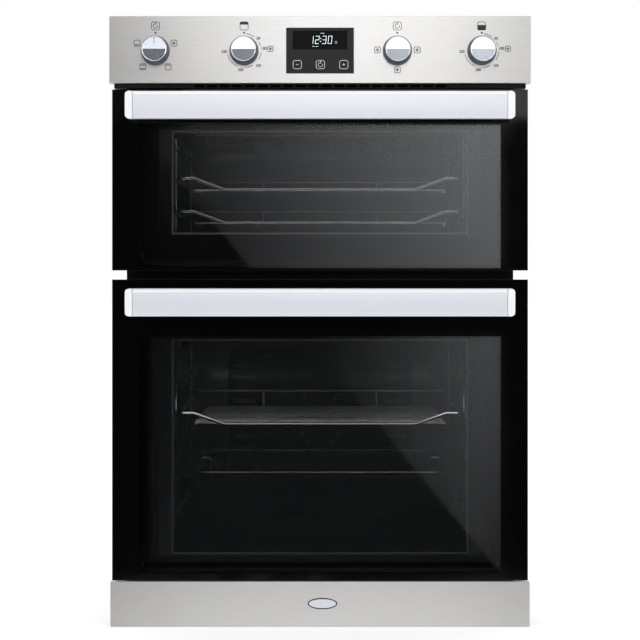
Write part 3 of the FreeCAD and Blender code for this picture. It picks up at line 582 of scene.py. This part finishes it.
# %% [markdown]
# ## Door glass
#
# The outer pane is one sheet of 4 mm glass. Its border is printed black, so that the frame and the glue
# behind it don't show, and the window in the middle is clear with a thin reflective coating. The pane is
# a block cut along the window's edges, and the front and back faces inside the cuts take the clear glass.

# %% Cut a pane with a printed border
WINDOW_HALF = 0.2555


def printed_pane(name, box, window_low, window_high, border, window, half=WINDOW_HALF):
    """A pane of glass with a window of another material in its printed border."""
    low, high = box
    pane = start_block(name, low, high)
    for height in (window_low, window_high):
        pick_faces(pane, lambda centre, normal: True)
        bpy.ops.mesh.bisect(plane_co=(0, 0, height), plane_no=(0, 0, 1))
    for x in (-half, half):
        pick_faces(pane, lambda centre, normal: True)
        bpy.ops.mesh.bisect(plane_co=(x, 0, 0), plane_no=(1, 0, 0))
    let_go()
    pane.data.materials.append(border)
    pane.data.materials.append(window)
    for face in pane.data.polygons:
        inside = window_low < face.center.z < window_high and abs(face.center.x) < half
        face.material_index = 1 if inside and abs(face.normal.y) > 0.9 else 0
    soften(pane, 0.5 * MM, 2)
    return pane


UPPER_WINDOW = (0.506, 0.709)
LOWER_WINDOW = (0.0765, 0.410)
doors = {"upper": (upper_glass, UPPER_WINDOW), "lower": (lower_glass, LOWER_WINDOW)}
for name, (box, window) in doors.items():
    pane = printed_pane(name + "_door_pane", box, window[0], window[1], printed_glass, window_glass)
    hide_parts(name + "_door_outer_glass")
    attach(pane, name + "_door")
    print(name, "door pane with a window", round(window[1] - window[0], 3), "m high")

# %% Inner panes, with a narrower printed frame
INNER_HALF = 0.2120
LINE_WIDTH = 2.6 * MM
LINE_THICKNESS = 0.15 * MM
line_ink = new_finish("inner_window_line", (0.09, 0.09, 0.095), 0.0, 0.5)
vary(line_ink, texture(line_ink, (40, 40, 40)), "Roughness", 0.4, 0.6)
INNER_WINDOWS = {"upper": (0.557, 0.700), "lower": (0.100, 0.402)}
for name, (window_low, window_high) in INNER_WINDOWS.items():
    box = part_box(name + "_door_inner_glass")
    pane = printed_pane(name + "_door_inner_pane", box, window_low, window_high, inner_print, clear_glass,
                        INNER_HALF)
    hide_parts(name + "_door_inner_glass")
    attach(pane, name + "_door")
    front = box[0].y
    line = start_block(name + "_inner_window_line",
                       (-INNER_HALF, front - LINE_THICKNESS, window_low - LINE_WIDTH),
                       (INNER_HALF, front, window_high + LINE_WIDTH))
    pick_faces(line, lambda centre, normal: abs(normal.y) > 0.9)
    bpy.ops.mesh.inset(thickness=LINE_WIDTH)
    bpy.ops.mesh.bridge_edge_loops()
    let_go()
    wear(line, line_ink)
    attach(line, name + "_door")
print("inner panes")

# %% [markdown]
# ## Handles
#
# Each handle is a broad flat bar of satin metal, closed at both ends by a moulded cap that also is the
# post down to the glass. A thin seam shows where bar and cap meet. The bar's long edges are rounded, and
# the faces of the broad upper round take the caps' brighter silver as a painted highlight, over the light
# that the round catches.

# %% Draw the handle bar and its ends
SEAM = 0.6 * MM
CROWN = 1.4 * MM
CROWN_STEPS = 8
UPPER_ROUND = 6 * MM
LOWER_ROUND = 2.4 * MM
CAP_CORNER = 7 * MM
POST_HALF = 15 * MM
POST_WIDTH = 24 * MM
POST_INSET = 2 * MM


def bevel_edges(piece, wanted, width, segments):
    """Round the edges whose two ends pass the test."""
    let_go()
    bpy.context.view_layer.objects.active = piece
    piece.select_set(True)
    bpy.ops.object.mode_set(mode="EDIT")
    bpy.ops.mesh.select_mode(type="EDGE")
    bpy.ops.mesh.select_all(action="DESELECT")
    cage = bmesh.from_edit_mesh(piece.data)
    for edge in cage.edges:
        edge.select = bool(wanted(edge.verts[0].co, edge.verts[1].co))
    bmesh.update_edit_mesh(piece.data)
    bpy.ops.mesh.bevel(offset=width, segments=segments, affect="EDGES")
    let_go()


def crown_front(piece, low, high):
    """Give the front a slight crown: cut it into level strips, then pull the middle cuts forward."""
    levels = [2 * step / CROWN_STEPS - 1 for step in range(1, CROWN_STEPS)]
    centre = (low.z + high.z) / 2
    reach = (high.z - low.z) / 2
    for across in levels:
        pick_faces(piece, lambda spot, normal: True)
        bpy.ops.mesh.bisect(plane_co=(0, 0, centre + across * reach), plane_no=(0, 0, 1))
    bpy.ops.mesh.select_mode(type="EDGE")
    for across in levels:
        bpy.ops.mesh.select_all(action="DESELECT")
        cage = bmesh.from_edit_mesh(piece.data)
        for edge in cage.edges:
            ends = [corner.co for corner in edge.verts]
            level = sum(abs(end.z - centre - across * reach) for end in ends) < 0.01 * MM
            edge.select = level and max(end.y for end in ends) < low.y + CROWN + 0.01 * MM
        bmesh.update_edit_mesh(piece.data)
        bpy.ops.transform.translate(value=(0, -CROWN * (1 - across ** 2), 0))
    let_go()


def round_long_edges(piece, low):
    """The front edges of a handle: a broad round above, a small one below."""
    def front(a, b):
        return max(a.y, b.y) < low.y + CROWN + 0.01 * MM and abs(a.z - b.z) < 0.01 * MM
    top = max(corner.co.z for corner in piece.data.vertices)
    bevel_edges(piece, lambda a, b: front(a, b) and min(a.z, b.z) > top - 0.01 * MM, UPPER_ROUND, 3)
    bevel_edges(piece, lambda a, b: front(a, b) and max(a.z, b.z) < low.z + 0.01 * MM, LOWER_ROUND, 8)
    smooth(piece, 12)


def handle(name):
    low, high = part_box(name + "_handle_bar")
    bar = start_block(name + "_handle_grip", (low.x + SEAM, low.y + CROWN, low.z),
                      (high.x - SEAM, high.y, high.z))
    crown_front(bar, low, high)
    pick_faces(bar, lambda centre, normal: normal.y > 0.9)
    bpy.ops.mesh.inset(thickness=6 * MM)
    push((0, -4 * MM, 0))
    let_go()
    round_long_edges(bar, low)
    wear(bar, satin)
    # Faces of the broad upper round take the brighter cap silver: a painted highlight along the top of the
    # bar
    bar.data.materials.append(cap_silver_and_painted_highlight)
    for face in bar.data.polygons:
        face.material_index = 1 if face.center.z > high.z - UPPER_ROUND and face.normal.z > 0.2 else 0
    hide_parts(name + "_handle_bar")
    ends_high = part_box(name + "_handle_ends")[1]
    ends = []
    for side in (-1, 1):
        outer = side * ends_high.x
        inner = side * high.x
        cap = start_block("cap", (min(inner, outer), low.y + CROWN, low.z),
                          (max(inner, outer), high.y, high.z))
        crown_front(cap, low, high)
        bevel_edges(cap, lambda a, b: abs(a.x - outer) + abs(b.x - outer) < 0.01 * MM
                    and (min(a.z, b.z) > high.z - 0.01 * MM or max(a.z, b.z) < low.z + 0.01 * MM),
                    CAP_CORNER, 8)
        round_long_edges(cap, low)
        post_outer = outer - side * POST_INSET
        post_inner = post_outer - side * POST_WIDTH
        height = middle((low, high)).z
        post = start_block("post", (min(post_inner, post_outer), high.y - 1 * MM, height - POST_HALF),
                           (max(post_inner, post_outer), GLASS_FRONT, height + POST_HALF))
        soften(post, 3 * MM, 4)
        ends += [cap, post]
    end_pair = join(name + "_handle_end_pair", ends)
    wear(end_pair, cap_silver_and_painted_highlight)
    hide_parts(name + "_handle_ends")
    for piece in (bar, end_pair):
        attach(piece, name + "_door")


for door in ("upper", "lower"):
    handle(door)
    print(door, "handle")

# %% [markdown]
# ## Dials
#
# A dial is turned and plated: a low conical skirt, whose dark grey is partly its own tone and partly painted
# shade, and a bright chrome face. It starts as a short round of the skirt's size, and its front face is
# pulled out and narrowed in steps. The face has two shallow facets that meet in a ridge across its middle:
# one looks up to the lamps and shines, the other looks down and stays dark.

# %% Turn a dial
SKIRT_RADIUS = 20.5
FOOT_THICKNESS = 0.8
FOOT_GAP = 0.8
CHROME_FROM = 22.5
KNOB_STEPS = ((3.0, SKIRT_RADIUS), (14.2, 18.9), (4.2, 17.6), (1.2, 16.9), (0.4, 16.3))
FACET = math.radians(5)


def turned_knob(name, centre, foot):
    let_go()
    bpy.ops.mesh.primitive_cylinder_add(vertices=96, radius=SKIRT_RADIUS * MM, depth=FOOT_THICKNESS * MM,
                                        location=(centre.x, foot - FOOT_THICKNESS * MM / 2, centre.z),
                                        rotation=(math.radians(90), 0, 0))
    knob = bpy.context.object
    knob.name = name
    settle(knob)
    pick_faces(knob, lambda centre, normal: normal.y < -0.9)
    radius = SKIRT_RADIUS
    depth = foot - FOOT_THICKNESS * MM
    for step, wider in KNOB_STEPS:
        push((0, -step * MM, 0))
        depth -= step * MM
        scale = wider / radius
        bpy.ops.transform.resize(value=(scale, 1, scale), center_override=(centre.x, depth, centre.z))
        radius = wider
    bpy.ops.mesh.bisect(plane_co=(0, 0, centre.z), plane_no=(0, 0, 1))
    for side in (-1, 1):
        pick_faces(knob, lambda spot, normal: normal.y < -0.9 and spot.y < depth + 0.01 * MM
                   and side * (spot.z - centre.z) > 2 * MM)
        bpy.ops.mesh.inset(thickness=0.25 * MM)
        bpy.ops.transform.rotate(value=side * FACET, orient_axis="X",
                                 center_override=(centre.x, depth, centre.z))
    let_go()
    smooth(knob, 8)
    return knob


for name in DIALS:
    low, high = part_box(name + "_knob")
    centre = dial_centres[name]
    knob = turned_knob(name + "_dial_cap", centre, FASCIA_FRONT - FOOT_GAP * MM)
    knob.data.materials.append(skirt_grey_and_painted_shade)
    knob.data.materials.append(knob_chrome)
    # Faces behind the chrome step take the dark skirt finish, partly the skirt's own grey and partly painted
    # shade
    for face in knob.data.polygons:
        face.material_index = 1 if face.center.y < FASCIA_FRONT - CHROME_FROM * MM else 0
    pointer = start_block("pointer", (centre.x - 0.3 * MM, low.y + 0.2 * MM, centre.z + 7 * MM),
                          (centre.x + 0.3 * MM, low.y + 3 * MM, centre.z + 16 * MM))
    wear(pointer, bezel_grey)
    knob = join(knob.name, [knob, pointer])
    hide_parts(name + "_knob")
    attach(knob, name + "_dial")
    print(name, "dial")

# %% [markdown]
# ## Display
#
# The clock sits behind a dark grey bezel with a fine light edge. Its screen is a black window with lit
# seven-segment digits, and three touch keys are printed below it, so they don't move.

# %% Bezel and screen
low, high = display_box
bezel = start_block("display_bezel", low, (high.x, FASCIA_FRONT + 0.5 * MM, high.z))
soften(bezel, 0.8 * MM, 2)
wear(bezel, bezel_grey)
bezel.data.materials.append(satin)
for face in bezel.data.polygons:
    face.material_index = 1 if -0.97 < face.normal.y < -0.2 else 0
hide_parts("display_window")
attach(bezel, "casing")

SCREEN_LOW = (-38.5 * MM, 0.8145)
SCREEN_HIGH = (38.5 * MM, 0.841)
screen = start_block("display_screen", (SCREEN_LOW[0], low.y - 0.25 * MM, SCREEN_LOW[1]),
                     (SCREEN_HIGH[0], low.y + 0.2 * MM, SCREEN_HIGH[1]))
soften(screen, 0.12 * MM, 2)
wear(screen, screen_glass)
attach(screen, "casing")
print("display", [round(v, 3) for v in high - low])

# %% Lit digits from seven bars
SEGMENTS = {"top": (0, 1, 1, 1), "upper_left": (0, 0.5, 0, 1), "upper_right": (1, 0.5, 1, 1),
            "middle": (0, 0.5, 1, 0.5), "lower_left": (0, 0, 0, 0.5), "lower_right": (1, 0, 1, 0.5),
            "bottom": (0, 0, 1, 0)}
DIGIT_BARS = {"0": ("top", "upper_left", "upper_right", "lower_left", "lower_right", "bottom"),
              "1": ("upper_right", "lower_right"),
              "2": ("top", "upper_right", "middle", "lower_left", "bottom"),
              "3": ("top", "upper_right", "middle", "lower_right", "bottom")}
SLANT = 0.10


def thin_bar(start, end, width, front, thickness=0.1 * MM):
    """A flat stroke between two (x, z) points that stands just proud of a surface."""
    run = Vector((end[0] - start[0], end[1] - start[1]))
    half = run.length / 2 + width / 2
    bar = start_block("stroke", (-half, front - thickness, -width / 2), (half, front, width / 2))
    bar.rotation_euler = (0, -math.atan2(run.y, run.x), 0)
    bar.location = ((start[0] + end[0]) / 2, 0, (start[1] + end[1]) / 2)
    return settle(bar)


DIGIT_HEIGHT = 10.6 * MM
DIGIT_WIDTH = 4.8 * MM
digit_low = 0.8227
screen_front = low.y - 0.25 * MM


def on_screen(x_mm, across, up):
    """A point of a slanted digit that starts at x_mm."""
    return (x_mm * MM + across * DIGIT_WIDTH + up * DIGIT_HEIGHT * SLANT, digit_low + up * DIGIT_HEIGHT)


strokes = []
for digit, x in (("1", -15.0), ("2", -6.8), ("3", 3.2), ("0", 11.2)):
    for bar_name in DIGIT_BARS[digit]:
        x0, z0, x1, z1 = SEGMENTS[bar_name]
        strokes.append(thin_bar(on_screen(x, x0, z0), on_screen(x, x1, z1), 0.45 * MM, screen_front))
for up in (0.3, 0.7):
    strokes.append(thin_bar(on_screen(0.3, 0, up), on_screen(0.3, 0.05, up), 0.8 * MM, screen_front))
for x, z, length in ((1, 0.8372, 5), (-11, 0.8188, 3), (-6, 0.8188, 3)):
    strokes.append(thin_bar((x * MM, z), ((x + length) * MM, z), 0.35 * MM, screen_front))
digits = join("clock_digits", strokes)
wear(digits, lit_digits)
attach(digits, "casing")
print("clock digits", len(strokes), "bars")

# %% [markdown]
# ## Printed marks
#
# The fascia is screen printed: a symbol over each dial, small pictures of the oven's functions round the
# selectors, and a temperature scale round the thermostats. Print has almost no thickness, so each mark is
# a stroke a tenth of a millimetre proud of the steel, and the numbers are text turned into a mesh.


# %% Strokes, rounded squares, rings and numbers
RING_STEPS = 10


def ring_mark(centre, radius, width, front, start=0, end=360):
    points = []
    for i in range(RING_STEPS + 1):
        angle = math.radians(start + (end - start) * i / RING_STEPS)
        points.append((centre[0] + radius * math.sin(angle), centre[1] + radius * math.cos(angle)))
    return [thin_bar(a, b, width, front) for a, b in zip(points, points[1:])]


def square_mark(centre, size, width, front):
    half = size / 2
    cut = size * 0.16
    x, z = centre
    points = [(x - half + cut, z - half), (x + half - cut, z - half), (x + half, z - half + cut),
              (x + half, z + half - cut), (x + half - cut, z + half), (x - half + cut, z + half),
              (x - half, z + half - cut), (x - half, z - half + cut)]
    return [thin_bar(a, b, width, front) for a, b in zip(points, points[1:] + points[:1])]


def number_mark(text, centre, size, front):
    let_go()
    bpy.ops.object.text_add(location=(centre[0], front, centre[1]), rotation=(math.radians(90), 0, 0))
    label = bpy.context.object
    label.data.body = text
    label.data.size = size
    label.data.align_x = "CENTER"
    label.data.align_y = "CENTER"
    label.data.extrude = 0.05 * MM
    label.data.offset = 0.18 * MM
    bpy.ops.object.convert(target="MESH")
    return settle(bpy.context.object)


def around(centre, degrees, radius):
    """A point round a dial, clockwise from the top."""
    angle = math.radians(degrees)
    return (centre.x + radius * math.sin(angle), centre.z + radius * math.cos(angle))


print("print tools ready")

# %% Function pictures
MARK_FRONT = FASCIA_FRONT
LINE = 0.85 * MM


def picture(kind, centre, size, front=MARK_FRONT, line=LINE):
    x, z = centre
    inner = size * 0.28
    marks = square_mark(centre, size, line, front)
    if kind == "clock":
        marks += ring_mark(centre, inner, line, front, 75, 350)
        tip = (x + inner * 0.4, z + inner)
        for side in (-1, 1):
            marks.append(thin_bar(tip, (x - inner * 0.1, z + inner * (1 + side * 0.5)), line, front))
    if kind in ("top_heat", "both_heat"):
        marks.append(thin_bar((x - inner, z + inner), (x + inner, z + inner), line * 1.4, front))
    if kind in ("bottom_heat", "both_heat"):
        marks.append(thin_bar((x - inner, z - inner), (x + inner, z - inner), line * 1.4, front))
    if kind in ("fan", "light"):
        for turn in (0, 60, 120):
            dx = inner * math.cos(math.radians(turn))
            dz = inner * math.sin(math.radians(turn))
            marks.append(thin_bar((x - dx, z - dz), (x + dx, z + dz), line, front))
    if kind == "top_filled":
        fill = size * 0.34
        reach = size / 2 - fill / 2
        marks.append(thin_bar((x - reach, z + reach), (x + reach, z + reach), fill, front))
    if kind == "bottom_filled":
        fill = size * 0.62
        reach = size / 2 - fill / 2
        marks.append(thin_bar((x - reach, z - reach), (x + reach, z - reach), fill, front))
    if kind in ("minus", "plus"):
        short = size * 0.13
        marks.append(thin_bar((x - short, z), (x + short, z), line, front))
    if kind == "plus":
        marks.append(thin_bar((x, z - short), (x, z + short), line, front))
    return marks


SYMBOL_Z = 0.8478
POINTER_DOT_Z = 0.8382
ABOVE = {"upper_function": "clock", "upper_thermostat": "top_filled",
         "lower_function": "clock", "lower_thermostat": "bottom_filled"}
ROUND_DIAL = {"upper_function": (("bottom_heat", -68, 28), ("light", 68, 28), ("both_heat", 218, 29),
                                 ("top_heat", 142, 29)),
              "lower_function": (("light", -88, 28), ("fan", 88, 28), ("fan", 180, 27))}
SCALE = ((50, 49.5, 26.5), (100, 84, 28), (150, 137, 29), (200, 190, 27.5), (250, 267, 28))
ARCS = ((8, 36), (60, 74), (96, 122), (150, 178), (204, 256))
for name in DIALS:
    centre = dial_centres[name]
    marks = picture(ABOVE[name], (centre.x, SYMBOL_Z), 11.4 * MM)
    marks += ring_mark((centre.x, POINTER_DOT_Z), 0.6 * MM, 1.3 * MM, MARK_FRONT)
    for kind, degrees, radius in ROUND_DIAL.get(name, ()):
        marks += picture(kind, around(centre, degrees, radius * MM), 8.5 * MM)
    if name.endswith("thermostat"):
        for start, end in ARCS:
            marks += ring_mark((centre.x, centre.z), 24 * MM, 0.8 * MM, MARK_FRONT, start, end)
        for value, degrees, radius in SCALE:
            marks.append(number_mark(str(value), around(centre, degrees, radius * MM), 5.2 * MM, MARK_FRONT))
        marks += picture("fan", around(centre, 86, 37 * MM), 7.5 * MM)
    print_marks = join(name + "_print", marks)
    wear(print_marks, dark_ink)
    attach(print_marks, "casing")
    print(name, "print of", len(marks), "marks")

# %% Touch keys and the small lamp symbol on the display
KEY_Z = 0.7932
KEY_LINE = 0.6 * MM
bezel_front = display_box[0].y
keys = []
for kind, x in (("minus", -32), ("clock", 0.5), ("plus", 33.5)):
    keys += picture(kind, (x * MM, KEY_Z), 11.8 * MM, bezel_front, KEY_LINE)
keys += ring_mark((22.5 * MM, 0.8245), 1.6 * MM, 0.5 * MM, screen_front)
touch_keys = join("touch_keys", keys)
wear(touch_keys, white_ink)
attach(touch_keys, "casing")
print("touch keys", len(keys), "strokes")

# %% [markdown]
# ## Floor and the gleam card
#
# The floor is a pale plane. It isn't mirrored in the steel and glass, as if black velvet lay before the
# oven, and the card that makes the diagonal gleam is seen by reflections only.

# %% Floor
let_go()
bpy.ops.mesh.primitive_plane_add(size=40, location=(0, 0, -0.5 * MM))
floor = bpy.context.object
floor.name = "floor"
pale = new_finish("pale_floor", (0.82, 0.82, 0.82), 0.0, 0.9)
pale.node_tree.nodes["Principled BSDF"].inputs["Emission Color"].default_value = (1, 1, 1, 1)
pale.node_tree.nodes["Principled BSDF"].inputs["Emission Strength"].default_value = 0.3
wear(floor, pale)
floor.visible_glossy = False
print("floor")


# %% Card with a slanted edge
def reflection_card(name, corners, strength, foot_share=1.0, curve=0.0):
    """A flat card from (x, z) corners in the plane before the oven, brightest at its upper right."""
    mesh = bpy.data.meshes.new(name)
    mesh.from_pydata([(x, CARD_PLANE, z) for x, z in corners], [], [tuple(range(len(corners)))])
    card = bpy.data.objects.new(name, mesh)
    bpy.context.scene.collection.objects.link(card)
    glow = bpy.data.materials.new(name + "_glow")
    glow.use_nodes = True
    tree = glow.node_tree
    tree.nodes.clear()
    place = tree.nodes.new("ShaderNodeTexCoord")
    split = tree.nodes.new("ShaderNodeSeparateXYZ")
    across = tree.nodes.new("ShaderNodeMapRange")
    across.inputs["From Min"].default_value = corners[0][0]
    across.inputs["From Max"].default_value = corners[1][0]
    bend = tree.nodes.new("ShaderNodeMath")
    bend.operation = "POWER"
    bend.inputs[1].default_value = curve
    upward = tree.nodes.new("ShaderNodeMapRange")
    upward.inputs["From Min"].default_value = corners[2][1]
    upward.inputs["From Max"].default_value = corners[1][1]
    upward.inputs["To Min"].default_value = foot_share * strength
    upward.inputs["To Max"].default_value = strength
    both = tree.nodes.new("ShaderNodeMath")
    both.operation = "MULTIPLY"
    emission = tree.nodes.new("ShaderNodeEmission")
    output = tree.nodes.new("ShaderNodeOutputMaterial")
    tree.links.new(place.outputs["Object"], split.inputs["Vector"])
    tree.links.new(split.outputs["X"], across.inputs["Value"])
    tree.links.new(across.outputs["Result"], bend.inputs[0])
    tree.links.new(split.outputs["Z"], upward.inputs["Value"])
    tree.links.new(bend.outputs["Value"], both.inputs[0])
    tree.links.new(upward.outputs["Result"], both.inputs[1])
    tree.links.new(both.outputs["Value"], emission.inputs["Strength"])
    tree.links.new(emission.outputs["Emission"], output.inputs["Surface"])
    wear(card, glow)
    card.visible_camera = False
    card.visible_diffuse = False
    card.visible_shadow = False
    return card


MIRROR = (CAMERA_DISTANCE + GLASS_FRONT - CARD_PLANE) / CAMERA_DISTANCE
GLEAM_TOP = (-0.264, 0.7097)
GLEAM_FOOT = (0.254, 0.0761)


def mirrored(x, z):
    """Where the camera sees the card plane, when it looks at the glass at x, z."""
    return (x * MIRROR, CAMERA_HEIGHT + (z - CAMERA_HEIGHT) * MIRROR)


def gleam_x(z):
    """The slanted edge's place across the door, at a height."""
    share = (GLEAM_TOP[1] - z) / (GLEAM_TOP[1] - GLEAM_FOOT[1])
    return GLEAM_TOP[0] + share * (GLEAM_FOOT[0] - GLEAM_TOP[0])


GLEAMS = (("upper", UPPER_WINDOW, 1.0, 0.7), ("lower", LOWER_WINDOW, 0.43, 0.2))
for name, (low_z, high_z), strength, foot_share in GLEAMS:
    corners = [mirrored(gleam_x(high_z), high_z), mirrored(WINDOW_HALF, high_z),
               mirrored(WINDOW_HALF, low_z), mirrored(gleam_x(low_z), low_z)]
    reflection_card(name + "_gleam_card", corners, strength, foot_share, 1.6)
reflection_card("trim_card", ((-0.62, -0.30), (0.70, -0.30), (0.70, -0.66), (-0.62, -0.66)), 2.6)
print("cards, mirror factor", round(MIRROR, 3))
